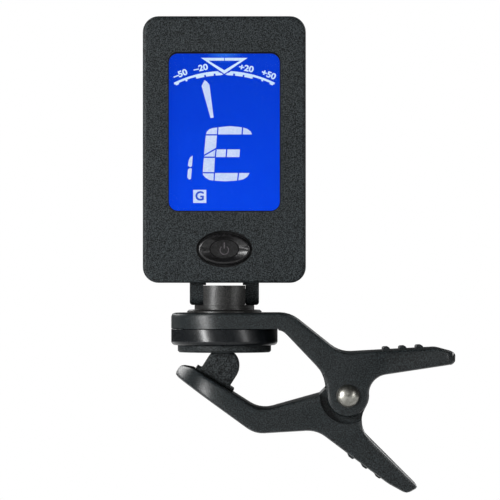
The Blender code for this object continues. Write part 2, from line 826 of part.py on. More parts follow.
def make_lower_foot(pivot):
    """Rubber foot: a base plate on the lower jaw with a round-nosed block, flattened by the pad."""
    left = FOOT_MIDDLE - FOOT_TIP_RADIUS
    right = FOOT_MIDDLE + FOOT_TIP_RADIUS
    outline = rounded([
        (FOOT_PLATE_START, FOOT_PLATE_BOTTOM, FOOT_HEEL_RADIUS),
        (FOOT_PLATE_END, FOOT_PLATE_BOTTOM, FOOT_HEEL_RADIUS),
        (FOOT_PLATE_END, FOOT_PLATE_TOP, FOOT_PLATE_CORNER),
        (right, FOOT_PLATE_TOP, FOOT_ROOT_RADIUS),
        (right, FOOT_TOP, FOOT_TIP_RADIUS),
        (left, FOOT_TOP, FOOT_TIP_RADIUS),
        (left, FOOT_PLATE_TOP, FOOT_ROOT_RADIUS),
        (FOOT_PLATE_START, FOOT_PLATE_TOP, FOOT_PLATE_CORNER),
    ])
    foot = front_prism("lower_foot", outline, -FOOT_HALF_LENGTH, FOOT_HALF_LENGTH)
    foot.matrix_world = plan_frame(JAW_SLOPE, JAW_TOP) @ foot.matrix_world
    round_edges(foot, FOOT_EDGE)
    cut(foot, box("pad_contact", (-FAR, -FAR, -FOOT_GAP), (FAR, FAR, PAD_HEIGHT + PAST)))
    finish(foot, "pad_rubber", pivot)


def make_rivet(pivot):
    """Pivot rivet: a domed head at the front, a plain shaft and a flat upset end at the back."""
    seat = RIVET_SEAT
    profile = []
    for step in range(RIVET_DOME_STEPS + 1):
        angle = math.pi / 2 * step / RIVET_DOME_STEPS
        profile.append((RIVET_HEAD_RADIUS * math.sin(angle), seat + RIVET_DOME * math.cos(angle)))
    profile += [(RIVET_RADIUS, seat), (RIVET_RADIUS, -seat)]
    profile += [(RIVET_TAIL_RADIUS, -seat), (RIVET_TAIL_RADIUS, -seat - RIVET_TAIL_RIM)]
    profile += [(RIVET_TAIL_FACE, -seat - RIVET_TAIL_HEIGHT), (0, -seat - RIVET_TAIL_HEIGHT)]
    rivet = turned("pivot_rivet", profile, "-Y", (PIVOT[0], 0, PIVOT[1]))
    finish(rivet, "steel", pivot)


def make_torsion_spring(pivot):
    """Torsion spring: a coil round the rivet with one leg in each handle."""
    centre = Vector(PIVOT)
    upper = Vector(UPPER_LEG_END) - centre
    lower = Vector(LOWER_LEG_END) - centre
    start = math.atan2(upper.y, upper.x) + math.acos(COIL_RADIUS / upper.length)
    end = math.atan2(lower.y, lower.x) - math.acos(COIL_RADIUS / lower.length)
    sweep = (end - start) % (2 * math.pi) + 2 * math.pi * COIL_TURNS
    points = [(UPPER_LEG_END[0], -COIL_HALF_LENGTH, UPPER_LEG_END[1])]
    count = COIL_TURNS * COIL_STEPS
    for step in range(count + 1):
        angle = start + sweep * step / count
        depth = -COIL_HALF_LENGTH + 2 * COIL_HALF_LENGTH * step / count
        x = centre.x + COIL_RADIUS * math.cos(angle)
        z = centre.y + COIL_RADIUS * math.sin(angle)
        points.append((x, depth, z))
    points.append((LOWER_LEG_END[0], COIL_HALF_LENGTH, LOWER_LEG_END[1]))
    finish(tube("torsion_spring", points, WIRE_RADIUS), "spring_steel", pivot)


# ---------------------------------------------------------------- neck


def make_neck(pivot):
    profile = [
        (0, COLLAR_TOP),
        (COLLAR_RADIUS - COLLAR_EDGE, COLLAR_TOP),
        (COLLAR_RADIUS, COLLAR_TOP - COLLAR_EDGE),
        (COLLAR_RADIUS, COLLAR_FOOT),
        (FLANGE_RADIUS - FLANGE_EDGE, FLANGE_TOP),
        (FLANGE_RADIUS, FLANGE_RIM_TOP),
        (FLANGE_RADIUS, FLANGE_BOTTOM),
        (STEM_RADIUS, FLANGE_BOTTOM),
        (STEM_RADIUS, STEM_BOTTOM),
        (0, STEM_BOTTOM),
    ]
    neck = turned("swivel_neck", profile)
    reach = FLANGE_RADIUS + PAST
    axis_centre = (0, 0, TILT_Z)
    cut(neck, box("collar_back", (-reach, 0, COLLAR_BACK_TOP), (reach, reach, COLLAR_TOP + PAST)))
    cut(neck, cylinder("ear_saddle", EAR_RADIUS + EAR_SADDLE_FIT, -reach, reach, "+X", axis_centre))
    tongue = cylinder("neck_tongue", TONGUE_FRONT, COLLAR_BACK_TOP - EAR_LAP, TILT_Z + PAST)
    front = -TONGUE_FRONT - COLLAR_EDGE
    sheared = rounded(
        [(TONGUE_BACK, TONGUE_ROOT, 0)]
        + hub_corners((0, TILT_Z), TONGUE_RADIUS, 90 - TILT_BACK, 90, 1)
        + [(front, TILT_Z + TONGUE_RADIUS, TONGUE_FRONT_CORNER), (front, TONGUE_ROOT, 0)]
    )
    keep_inside(tongue, side_prism("tongue_side", sheared, -TONGUE_HALF_WIDTH, TONGUE_HALF_WIDTH))
    join(neck, tongue)
    boss_reach = TONGUE_HALF_WIDTH + HINGE_BOSS_HEIGHT
    join(neck, cylinder("hinge_bosses", HINGE_BOSS_RADIUS, -boss_reach, boss_reach, "+X", axis_centre))
    cut(neck, cylinder("tongue_pin_hole", HINGE_PIN_HOLE, -reach, reach, "+X", axis_centre, FINE_STEPS))
    cut(neck, cylinder("stem_bore", SCREW_PILOT, STEM_BOTTOM - PAST, STEM_BORE_TOP, sides=FINE_STEPS))
    finish(neck, "arm_plastic", pivot)


def make_swivel_hardware(pivot):
    washers = {
        "swivel_washer": ("steel", SCREW_CLEARANCE, WASHER_RADIUS, WASHER_BOTTOM, WASHER_TOP),
        "friction_washer": ("spring_steel", FRICTION_INNER, FRICTION_OUTER, FRICTION_BOTTOM, FRICTION_TOP),
    }
    for name, (material, inner, outer, bottom, top) in washers.items():
        ring = [(inner, top), (outer, top), (outer, bottom), (inner, bottom)]
        finish(turned(name, ring, closed=True), material, pivot)
    profile = [
        (0, SWIVEL_SCREW_TIP),
        (SCREW_SHANK, SWIVEL_SCREW_TIP),
        (SCREW_SHANK, SWIVEL_SCREW_SEAT),
        (SWIVEL_SCREW_HEAD, SWIVEL_SCREW_SEAT),
        (SWIVEL_SCREW_HEAD, SWIVEL_SCREW_FACE + SWIVEL_SCREW_EDGE),
        (SWIVEL_SCREW_HEAD - SCREW_HEAD_EDGE, SWIVEL_SCREW_FACE),
        (0, SWIVEL_SCREW_FACE),
    ]
    screw = turned("swivel_screw", profile, steps=FINE_STEPS)
    cut(screw, cross_slot("swivel_screw_slot", SWIVEL_SCREW_FACE))
    finish(screw, "steel", pivot)


def cross_slot(name, face):
    """Cross recess for a screwdriver, sunk upward into a screw head whose face looks down."""
    half = SWIVEL_CROSS_LENGTH / 2
    bar = SWIVEL_CROSS_WIDTH / 2
    low = face - PAST
    high = face + SWIVEL_CROSS_DEPTH
    blade = box(name, (-half, -bar, low), (half, bar, high))
    join(blade, box(name + "_bar", (-bar, -half, low - 0.1), (bar, half, high + 0.02)))
    return blade


# ---------------------------------------------------------------- head


def head_outline(inset=0.0):
    width = HEAD_WIDTH - 2 * inset
    height = HEAD_HEIGHT - 2 * inset
    return rectangle((0, HEAD_MIDDLE), width, height, max(HEAD_CORNER - inset, 0.6))


def corner_cylinders(name, radius, front, back, sides=FINE_STEPS):
    """Four cylinders along Y at the case screws' places, in one mesh."""
    made = cylinder(name, radius, front, back, "+Y", (SCREW_X, 0, HEAD_MIDDLE + SCREW_Z), sides)
    centre = new_pivot(name + "_centre", (0, 0, HEAD_MIDDLE))
    mirror = made.modifiers.new("four_corners", "MIRROR")
    mirror.mirror_object = centre
    mirror.use_axis = (True, False, True)
    mirror.use_mirror_merge = False
    return made


def make_front_case(pivot):
    case = front_prism("front_case", head_outline(), HEAD_FRONT, HEAD_BACK)
    round_edges(case, FRONT_EDGE, 3)
    cut(case, box("front_case_trim", (-FAR, FRONT_CASE_BACK, 0), (FAR, HEAD_BACK + PAST, FAR)))
    cut(case, front_prism("front_cavity", head_outline(WALL), FRONT_INNER, HEAD_BACK + PAST))
    lip_inside = front_prism("lip_inside", head_outline(LIP_INSET + LIP_THICKNESS), HEAD_FRONT, HEAD_BACK)
    root_outline = head_outline(WALL - CASE_LAP)
    root = front_prism("lip_root", root_outline, FRONT_CASE_BACK - LIP_ROOT, FRONT_CASE_BACK - LIP_STEP)
    cut(root, lip_inside)
    join(case, root)
    lip = front_prism("front_lip", head_outline(LIP_INSET), FRONT_CASE_BACK - LIP_ROOT / 2, LIP_BACK)
    cut(lip, lip_inside)
    join(case, lip)
    window = rectangle((0, WINDOW_MIDDLE), WINDOW_WIDTH, WINDOW_HEIGHT, WINDOW_CORNER)
    cut(case, front_prism("window", window, HEAD_FRONT - PAST, 0))
    seat = rectangle((0, WINDOW_MIDDLE), LENS_WIDTH + 2 * LENS_FIT, LENS_HEIGHT + 2 * LENS_FIT, LENS_CORNER)
    cut(case, front_prism("lens_seat", seat, LENS_FRONT, 0))
    hole = ellipse((0, BUTTON_Z), BUTTON_HOLE_HALF_WIDTH, BUTTON_HOLE_HALF_HEIGHT)
    cut(case, front_prism("button_hole", hole, HEAD_FRONT - PAST, 0))
    boss_back = BOARD_FRONT - BOARD_FIT
    join(case, corner_cylinders("front_bosses", BOSS_RADIUS, FRONT_INNER - BOSS_SINK, boss_back))
    cut(case, corner_cylinders("front_pilots", SCREW_PILOT, PILOT_FRONT, BOARD_FRONT + PAST))
    finish(case, "shell_plastic", pivot)


def door_section(gap):
    """Door's section across the slide, with its side lips, grown by a gap all round."""
    width = DOOR_HALF_WIDTH + gap
    lip_width = DOOR_LIP_HALF_WIDTH + gap
    inner = DOOR_INNER - gap
    step = DOOR_STEP + gap
    back = HEAD_BACK + PAST
    return [
        (-lip_width, inner),
        (lip_width, inner),
        (lip_width, step),
        (width, step),
        (width, back),
        (-width, back),
        (-width, step),
        (-lip_width, step),
    ]


def make_rear_case(pivot):
    case = front_prism("rear_case", head_outline(), HEAD_FRONT - PAST, HEAD_BACK)
    round_edges(case, BACK_EDGE, 3)
    cut(case, box("rear_case_trim", (-FAR, -FAR, 0), (FAR, REAR_CASE_FRONT, FAR)))
    cut(case, front_prism("rear_cavity", head_outline(WALL), HEAD_FRONT - PAST, REAR_INNER))
    column_front = BOARD_BACK + BOARD_FIT
    join(case, corner_cylinders("rear_columns", COLUMN_RADIUS, column_front, REAR_INNER + BOSS_SINK))
    for side in (-1, 1):
        ear_outline = rounded([
            (EAR_RADIUS, HEAD_BOTTOM + WALL / 2, 0),
            (-EAR_RADIUS, HEAD_BOTTOM + WALL / 2, 0),
            (-EAR_RADIUS, TILT_Z - EAR_RADIUS, EAR_RADIUS),
            (EAR_RADIUS, TILT_Z - EAR_RADIUS, EAR_RADIUS),
        ])
        low = min(side * EAR_INNER, side * EAR_OUTER)
        high = max(side * EAR_INNER, side * EAR_OUTER)
        hand = "left" if side < 0 else "right"
        ear = side_prism("ear_" + hand, ear_outline, low, high)
        face = [
            (side * EAR_WEB_INNER, HEAD_BOTTOM + PAST, 0),
            (side * EAR_WEB_INNER, TILT_Z - EAR_RADIUS - 0.01, 0),
            (side * EAR_OUTER, TILT_Z - EAR_RADIUS - 0.01, EAR_CORNER),
            (side * EAR_OUTER, HEAD_BOTTOM + PAST, 0),
        ]
        keep_inside(ear, front_prism("ear_face_" + hand, rounded(face), -PAST, PAST))
        join(case, ear)
        web_low = min(side * EAR_WEB_INNER, side * (EAR_INNER + EAR_LAP))
        web_high = max(side * EAR_WEB_INNER, side * (EAR_INNER + EAR_LAP))
        web_top = HEAD_BOTTOM + WALL / 3
        join(case, box("ear_web_" + hand, (web_low, 0, EAR_WEB_BOTTOM), (web_high, EAR_WEB_BACK, web_top)))
    recess_reach = EAR_INNER + HINGE_BOSS_HEIGHT
    recess_radius = HINGE_BOSS_RADIUS + HINGE_BOSS_FIT
    centre = (0, 0, TILT_Z)
    cut(case, cylinder("ear_recesses", recess_radius, -recess_reach, recess_reach, "+X", centre))
    pin_reach = EAR_OUTER + PAST
    cut(case, cylinder("ear_pin_hole", HINGE_PIN_HOLE, -pin_reach, pin_reach, "+X", centre, FINE_STEPS))
    cut(case, top_prism("door_slot", door_section(DOOR_GAP), DOOR_BOTTOM - DOOR_GAP, FAR))
    cut(case, corner_cylinders("rear_clearances", SCREW_CLEARANCE, -PAST, HEAD_BACK + PAST))
    counterbore = SCREW_HEAD + SCREW_HEAD_FIT
    cut(case, corner_cylinders("screw_counterbores", counterbore, SCREW_SEAT, HEAD_BACK + PAST))
    finish(case, "shell_plastic", pivot)


def make_battery_door(pivot):
    """Sliding door: its side lips run in the rear case's grooves, with a ribbed thumb grip."""
    door = top_prism("battery_door", door_section(0.0), DOOR_BOTTOM, FAR)
    envelope = front_prism("door_envelope", head_outline(), HEAD_FRONT - PAST, HEAD_BACK)
    round_edges(envelope, BACK_EDGE, 3)
    keep_inside(door, envelope)
    for index in range(GRIP_COUNT):
        z = GRIP_START + GRIP_PITCH * index
        low = (-GRIP_HALF_LENGTH, HEAD_BACK - GRIP_DEPTH, z)
        high = (GRIP_HALF_LENGTH, HEAD_BACK + PAST, z + GRIP_WIDTH)
        cut(door, box("grip_groove_%d" % index, low, high))
    finish(door, "shell_plastic", pivot)


def make_display(pivot):
    lens_outline = rectangle((0, WINDOW_MIDDLE), LENS_WIDTH, LENS_HEIGHT, LENS_CORNER)
    front = LENS_FRONT + LENS_GLUE
    lens = front_prism("display_lens", lens_outline, front, front + LENS_THICKNESS)
    finish(lens, "lens_acrylic", pivot)
    half = GLASS_HALF_WIDTH
    panel = box("lcd_panel", (-half, GLASS_SPLIT, GLASS_BOTTOM), (half, GLASS_BACK, GLASS_TOP))
    lap = GLASS_SPLIT + GLASS_LAP
    join(panel, box("lcd_front_glass", (-half, GLASS_FRONT, GLASS_LEDGE), (half, lap, GLASS_TOP)))
    finish(panel, "display_glass", pivot)
    guide = rectangle((0, 43.2), 21.6, 29.6, 0.6)
    finish(front_prism("backlight_panel", guide, -1.95, -0.95), "light_guide", pivot)
    finish(box("backlight_led", (-1.6, -1.9, 58.3), (1.6, -0.95, 59.5)), "led_white", pivot)
    finish(box("zebra_connector", (-10.5, -1.95, 25.75), (10.5, -0.9, 27.25)), "zebra_rubber", pivot)


def make_circuit_board(pivot):
    height = BOARD_TOP - BOARD_BOTTOM
    outline = rectangle((0, BOARD_BOTTOM + height / 2), 2 * BOARD_HALF_WIDTH, height, BOARD_CORNER)
    board = front_prism("circuit_board", outline, BOARD_FRONT, BOARD_BACK)
    cut(board, corner_cylinders("board_holes", BOARD_HOLE, -PAST, PAST))
    finish(board, "circuit_board", pivot)


def make_board_parts(pivot):
    dome = arc((0, 0), 3.0, 90, 20)
    profile = [(x, y - 2.0 + BOARD_BACK + 0.1) for x, y in dome if y > 1.9]
    profile += [(profile[-1][0], BOARD_BACK + 0.05), (0, BOARD_BACK + 0.05)]
    profile[0] = (0.0, profile[0][1])
    chip = turned("controller_chip", profile, "+Y", (-6.5, 0, 28.5), steps=32)
    finish(chip, "component_black", pivot)
    can = cylinder("timing_crystal", 1.0, 3.0, 9.0, "+X", (0, 1.15, 29.5), FINE_STEPS)
    round_edges(can, 0.25)
    finish(can, "switch_metal", pivot)
    blocks = {
        "supply_capacitor": ((4.0, 0.05, 26.4), (6.0, 0.85, 27.6)),
        "signal_capacitor": ((7.4, 0.05, 26.4), (8.4, 0.55, 26.9)),
        "led_resistor": ((-0.6, 0.05, 30.9), (0.4, 0.55, 31.4)),
    }
    for name, (low, high) in blocks.items():
        finish(box(name, low, high), "component_black", pivot)


def make_battery(pivot):
    """Coin cell: a can with a rolled edge, narrower at its negative face."""
    back = BATTERY_FRONT + BATTERY_THICKNESS
    radius = BATTERY_RADIUS
    profile = [
        (0, back),
        (radius - 0.4, back),
        (radius, back - 0.4),
        (radius, BATTERY_FRONT + 0.7),
        (radius - 0.9, BATTERY_FRONT + 0.25),
        (radius - 1.4, BATTERY_FRONT),
        (0, BATTERY_FRONT),
    ]
    finish(turned("coin_cell", profile, "+Y", (0, 0, BATTERY_Z)), "steel", pivot)
    ring = [(TRAY_INNER, 3.5), (TRAY_OUTER, 3.5), (TRAY_OUTER, 0.1), (TRAY_INNER, 0.1)]
    tray = turned("battery_tray", ring, "+Y", (0, 0, BATTERY_Z), closed=True)
    top = BATTERY_Z + TRAY_INNER
    cut(tray, box("tray_notch", (-2.7, -1, top - 1.5), (2.7, 5, top + 2)))
    finish(tray, "component_black", pivot)


def make_battery_contacts(pivot):
    """Negative leaf under the cell and an L-shaped positive clip at its rim."""
    half = CONTACT_WIDTH / 2
    leaf_back = LEAF_FRONT + CONTACT_THICKNESS
    low = BATTERY_Z - LEAF_HALF_LENGTH
    high = BATTERY_Z + LEAF_HALF_LENGTH
    leaf = box("negative_contact", (-half, LEAF_FRONT, low), (half, leaf_back, high))
    finish(leaf, "contact_metal", pivot)
    rim = BATTERY_Z + BATTERY_RADIUS + 0.1
    foot = BOARD_BACK + CONTACT_FIT
    outline = [
        (foot, rim),
        (CLIP_BACK, rim),
        (CLIP_BACK, rim + CONTACT_THICKNESS),
        (foot + CONTACT_THICKNESS, rim + CONTACT_THICKNESS),
        (foot + CONTACT_THICKNESS, rim + CLIP_FOOT_LENGTH),
        (foot, rim + CLIP_FOOT_LENGTH),
    ]
    finish(side_prism("positive_contact", outline, -half, half), "contact_metal", pivot)


def make_piezo(pivot):
    centre = (0, 0, PIEZO_Z)
    finish(cylinder("piezo_plate", 7.0, 3.55, 3.75, "+Y", centre), "brass", pivot)
    finish(cylinder("piezo_ceramic", 4.8, 3.3, 3.5, "+Y", centre), "ceramic", pivot)
    routes = {
        "piezo_wire_red": ("wire_red", RED_WIRE_ROUTE),
        "piezo_wire_black": ("wire_black", BLACK_WIRE_ROUTE),
    }
    for name, (material, points) in routes.items():
        finish(tube(name, points, WIRE_CORE), material, pivot)


def case_screw_cross(name, place):
    """Cross recess in the back face of a case screw standing at a place."""
    x, _, z = place
    half = CROSS_LENGTH / 2
    bar = CROSS_WIDTH / 2
    floor = SCREW_BACK - CROSS_DEPTH
    blade = box(name, (x - half, floor, z - bar), (x + half, SCREW_BACK + 1, z + bar))
    join(blade, box(name + "_bar", (x - bar, floor - 0.02, z - half), (x + bar, SCREW_BACK + 1.1, z + half)))
    return blade


def make_case_screws(pivot):
    """Four pan-head screws, one in each corner of the case."""
    profile = [
        (0, SCREW_BACK),
        (SCREW_HEAD - SCREW_HEAD_EDGE, SCREW_BACK),
        (SCREW_HEAD, SCREW_BACK_RIM),
        (SCREW_HEAD, SCREW_HEAD_UNDER),
        (SCREW_SHANK, SCREW_HEAD_UNDER),
        (SCREW_SHANK, SCREW_SHANK_END),
        (0, SCREW_TIP),
    ]
    number = 0
    for side in (-1, 1):
        for level in (-1, 1):
            number += 1
            place = (side * SCREW_X, 0, HEAD_MIDDLE + level * SCREW_Z)
            screw = turned("case_screw_%d" % number, profile, "+Y", place, steps=16)
            cut(screw, case_screw_cross("case_screw_cross_%d" % number, place))
            finish(screw, "steel", pivot)


def make_hinge_pin(pivot):
    reach = EAR_OUTER - 0.1
    pin = cylinder("hinge_pin", HINGE_PIN_RADIUS, -reach, reach, "+X", (0, 0, TILT_Z), FINE_STEPS)
    round_edges(pin, 0.15)
    finish(pin, "steel", pivot)


def make_switch(pivot, button_pivot):
    half = SWITCH_HALF
    low = (-half, -2.05, BUTTON_Z - half)
    high = (half, BOARD_FRONT - 0.05, BUTTON_Z + half)
    body = box("tact_switch", low, high)
    cut(body, cylinder("plunger_bore", PLUNGER_RADIUS + 0.08, -3, -1.05, "+Y", (0, 0, BUTTON_Z), FINE_STEPS))
    finish(body, "switch_metal", pivot)
    plunger = cylinder("switch_plunger", PLUNGER_RADIUS, -2.4, -1.5, "+Y", (0, 0, BUTTON_Z), FINE_STEPS)
    finish(plunger, "component_black", button_pivot)


def make_power_button(pivot):
    """Oval button: a dished cap, a wider flange behind the wall and a post to the switch."""
    centre = (0, BUTTON_Z)
    width = BUTTON_HALF_WIDTH
    height = BUTTON_HALF_HEIGHT
    button = front_prism("power_button", ellipse(centre, width, height), BUTTON_FRONT, -3.4)
    round_edges(button, 0.5, 3)
    margin = BUTTON_FLANGE_MARGIN
    flange = front_prism("button_flange", ellipse(centre, width + margin, height + margin), -3.7, -3.2)
    join(button, flange)
    join(button, cylinder("button_post", 1.0, -3.5, -2.5, "+Y", (0, 0, BUTTON_Z), FINE_STEPS))
    floor = ellipse(centre, DISH_FLOOR_HALF_WIDTH, DISH_FLOOR_HALF_HEIGHT)
    brim = ellipse(centre, DISH_HALF_WIDTH, DISH_HALF_HEIGHT)
    cut(button, tapered("button_dish", brim, BUTTON_FRONT - 0.001, floor, BUTTON_FRONT + DISH_DEPTH))
    finish(button, "button_rubber", pivot)


def build():
    clip = new_pivot("clip_base", ORIGIN)
    jaw = new_pivot("jaw_axis", (PIVOT[0], 0, PIVOT[1]), clip)
    swivel = new_pivot("swivel_axis", (0, 0, DISC_TOP), clip)
    tilt = new_pivot("tilt_axis", (0, 0, TILT_Z), swivel)
    press = new_pivot("button_axis", (0, HEAD_FRONT, BUTTON_Z), tilt)
    slide = new_pivot("door_slide", (0, HEAD_BACK, DOOR_BOTTOM), tilt)

    make_upper_arm(clip)
    make_disc_cover(clip)
    make_upper_pad(clip)
    make_rivet(clip)
    make_torsion_spring(clip)
    make_lower_arm(jaw)
    make_lower_foot(jaw)

    make_neck(swivel)
    make_swivel_hardware(swivel)

    make_front_case(tilt)
    make_rear_case(tilt)
    make_display(tilt)
    make_circuit_board(tilt)
    make_board_parts(tilt)
    make_battery(tilt)
    make_battery_contacts(tilt)
    make_piezo(tilt)
    make_case_screws(tilt)
    make_hinge_pin(tilt)
    make_switch(tilt, press)
    make_power_button(press)
    make_battery_door(slide)


build()
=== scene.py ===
"""Looks of a clip-on instrument tuner: materials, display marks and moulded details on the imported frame."""
import json
import math

import bmesh
import bpy
from mathutils import Matrix, Vector


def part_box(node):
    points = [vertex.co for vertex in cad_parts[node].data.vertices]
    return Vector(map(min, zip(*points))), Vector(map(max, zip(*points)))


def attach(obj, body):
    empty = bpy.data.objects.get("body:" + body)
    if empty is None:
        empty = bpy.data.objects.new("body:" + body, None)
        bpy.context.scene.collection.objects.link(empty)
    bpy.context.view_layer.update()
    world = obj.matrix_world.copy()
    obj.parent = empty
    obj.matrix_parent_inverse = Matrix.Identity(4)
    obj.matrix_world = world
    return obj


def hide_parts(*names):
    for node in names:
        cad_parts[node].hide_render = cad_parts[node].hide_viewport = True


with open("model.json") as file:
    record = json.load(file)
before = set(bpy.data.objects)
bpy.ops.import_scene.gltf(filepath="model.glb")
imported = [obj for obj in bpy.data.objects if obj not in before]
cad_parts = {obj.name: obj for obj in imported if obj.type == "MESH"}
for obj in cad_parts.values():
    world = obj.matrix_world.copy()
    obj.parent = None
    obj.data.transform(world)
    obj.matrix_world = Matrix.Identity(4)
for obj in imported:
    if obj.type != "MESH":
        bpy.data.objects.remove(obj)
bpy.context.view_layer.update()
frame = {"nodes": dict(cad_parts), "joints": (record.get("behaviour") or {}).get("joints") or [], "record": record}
NODES = frame["nodes"]
MM = 0.001


# ---------------------------------------------------------------- places taken from the frame

LENS_LOW, LENS_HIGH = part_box("display_lens")
PANEL_LOW, PANEL_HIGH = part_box("lcd_panel")
BUTTON_LOW, BUTTON_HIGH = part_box("power_button")
DOOR_LOW, DOOR_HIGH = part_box("battery_door")
HEAD_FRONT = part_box("front_case")[0].y
WINDOW = (LENS_LOW + LENS_HIGH) / 2
BUTTON_AT = (BUTTON_LOW + BUTTON_HIGH) / 2
JOINTS = {joint["name"]: joint for joint in frame["joints"]}
PIVOT = Vector(JOINTS["jaw_pivot"]["pos_m"])


# ---------------------------------------------------------------- materials

def link(tree, source, target):
    tree.links.new(source, target)


def noise(tree, coords, grain_mm, detail, rough=0.5):
    node = tree.nodes.new("ShaderNodeTexNoise")
    node.inputs["Scale"].default_value = 1000.0 / grain_mm
    node.inputs["Detail"].default_value = detail
    node.inputs["Roughness"].default_value = rough
    link(tree, coords, node.inputs["Vector"])
    return node.outputs["Fac"]


def spread(tree, value, low, high, to_low, to_high):
    node = tree.nodes.new("ShaderNodeMapRange")
    node.inputs["From Min"].default_value = low
    node.inputs["From Max"].default_value = high
    node.inputs["To Min"].default_value = to_low
    node.inputs["To Max"].default_value = to_high
    link(tree, value, node.inputs["Value"])
    return node.outputs["Result"]


# Sockets of a Mix node that mixes colours; its other sockets belong to its other data types
MIX_FACTOR = 0
MIX_FIRST = 6
MIX_SECOND = 7
MIX_RESULT = 2


def blend_colour(tree, factor, first, second):
    """Mixes two colours, each either a plain colour or the output of another node."""
    node = tree.nodes.new("ShaderNodeMix")
    node.data_type = "RGBA"
    for socket, colour in ((node.inputs[MIX_FIRST], first), (node.inputs[MIX_SECOND], second)):
        if isinstance(colour, tuple):
            socket.default_value = (*colour, 1.0)
        else:
            link(tree, colour, socket)
    link(tree, factor, node.inputs[MIX_FACTOR])
    return node.outputs[MIX_RESULT]


# What part of a noise's range goes from one end of a tone or a roughness to the other
TONE_LOW, TONE_HIGH = 0.42, 0.62
NOISE_LOW, NOISE_HIGH = 0.3, 0.7
BROAD_GRAIN = 9.0


def surface(name, dark, light, rough, grain, depth, rough_spread=0.08, metallic=0.0, specular=0.5, coat=0.0,
            stretch=None):
    """Grained material: two tones mixed by fine grain, roughness varied by broad grain, and a bump.

    The grain's size and the bump's depth are in millimetres.
    """
    material = bpy.data.materials.new(name)
    material.use_nodes = True
    tree = material.node_tree
    shader = tree.nodes["Principled BSDF"]
    shader.inputs["Metallic"].default_value = metallic
    shader.inputs["Specular IOR Level"].default_value = specular
    shader.inputs["Coat Weight"].default_value = coat
    coords = tree.nodes.new("ShaderNodeTexCoord").outputs["Object"]
    if stretch is not None:
        mapping = tree.nodes.new("ShaderNodeMapping")
        mapping.inputs["Scale"].default_value = stretch
        link(tree, coords, mapping.inputs["Vector"])
        coords = mapping.outputs["Vector"]
    fine = noise(tree, coords, grain, 3.0, 0.6)
    broad = noise(tree, coords, BROAD_GRAIN, 2.0)
    tone = spread(tree, fine, TONE_LOW, TONE_HIGH, 0.0, 1.0)
    link(tree, blend_colour(tree, tone, dark, light), shader.inputs["Base Color"])
    gloss = spread(tree, broad, NOISE_LOW, NOISE_HIGH, rough - rough_spread, rough + rough_spread)
    link(tree, gloss, shader.inputs["Roughness"])
    bump = tree.nodes.new("ShaderNodeBump")
    bump.inputs["Strength"].default_value = 1.0
    bump.inputs["Distance"].default_value = depth * MM
    link(tree, fine, bump.inputs["Height"])
    link(tree, bump.outputs["Normal"], shader.inputs["Normal"])
    return material


# Backlight of the display: the lamp's height above the lens, how far its full brightness and its glow reach,
# and how far below the panel's top the brighter foot of the field has faded out
LAMP_ABOVE = 1.5 * MM
LAMP_BRIGHT = 1.6 * MM
LAMP_REACH = 4.2 * MM
FIELD_FADE_END = 4.0 * MM


def display_blue():
    """Backlit blue field: lit from its own glow, a little brighter at the top centre and near the bottom."""
    material = bpy.data.materials.new("display_blue")
    material.use_nodes = True
    tree = material.node_tree
    shader = tree.nodes["Principled BSDF"]
    shader.inputs["Roughness"].default_value = 0.12
    shader.inputs["Specular IOR Level"].default_value = 0.1
    coords = tree.nodes.new("ShaderNodeTexCoord").outputs["Object"]
    split = tree.nodes.new("ShaderNodeSeparateXYZ")
    link(tree, coords, split.inputs[0])
    low = spread(tree, split.outputs["Z"], PANEL_LOW.z, PANEL_HIGH.z - FIELD_FADE_END, 1.0, 0.0)
    field = blend_colour(tree, low, (0.0008, 0.038, 0.565), (0.0010, 0.053, 0.735))
    lamp = tree.nodes.new("ShaderNodeVectorMath")
    lamp.operation = "DISTANCE"
    link(tree, coords, lamp.inputs[0])
    lamp.inputs[1].default_value = (0.0, PANEL_LOW.y, LENS_HIGH.z + LAMP_ABOVE)
    glow = spread(tree, lamp.outputs["Value"], LAMP_BRIGHT, LAMP_REACH, 1.0, 0.0)
    field = blend_colour(tree, glow, field, (0.03, 0.20, 0.85))
    mottle = spread(tree, noise(tree, coords, 0.25, 2.0), NOISE_LOW, NOISE_HIGH, 0.0, 0.12)
    field = blend_colour(tree, mottle, field, (0.001, 0.03, 0.45))
    link(tree, field, shader.inputs["Emission Color"])
    shader.inputs["Emission Strength"].default_value = 1.0
    unlit = blend_colour(tree, low, (0.001, 0.008, 0.09), (0.001, 0.01, 0.12))
    link(tree, unlit, shader.inputs["Base Color"])
    return material


def display_mark(name, colour, shade):
    """Lit liquid-crystal segment with the faint fibre-like grain of the diffuser behind it."""
    material = bpy.data.materials.new(name)
    material.use_nodes = True
    tree = material.node_tree
    shader = tree.nodes["Principled BSDF"]
    shader.inputs["Roughness"].default_value = 0.4
    shader.inputs["Specular IOR Level"].default_value = 0.1
    coords = tree.nodes.new("ShaderNodeTexCoord").outputs["Object"]
    grain = spread(tree, noise(tree, coords, 0.3, 3.0), NOISE_LOW, NOISE_HIGH, 0.0, 1.0)
    tone = blend_colour(tree, grain, colour, shade)
    link(tree, tone, shader.inputs["Emission Color"])
    shader.inputs["Emission Strength"].default_value = 1.0
    unlit = blend_colour(tree, grain, (0.02, 0.02, 0.05), (0.03, 0.03, 0.06))
    link(tree, unlit, shader.inputs["Base Color"])
    return material


def clear_lens():
    material = surface("clear_lens", (0.93, 0.96, 1.0), (1.0, 1.0, 1.0), 0.035, 3.0, 0.0004, 0.02)
    shader = material.node_tree.nodes["Principled BSDF"]
    shader.inputs["Transmission Weight"].default_value = 1.0
    shader.inputs["IOR"].default_value = 1.3
    shader.inputs["Specular IOR Level"].default_value = 0.2
    return material


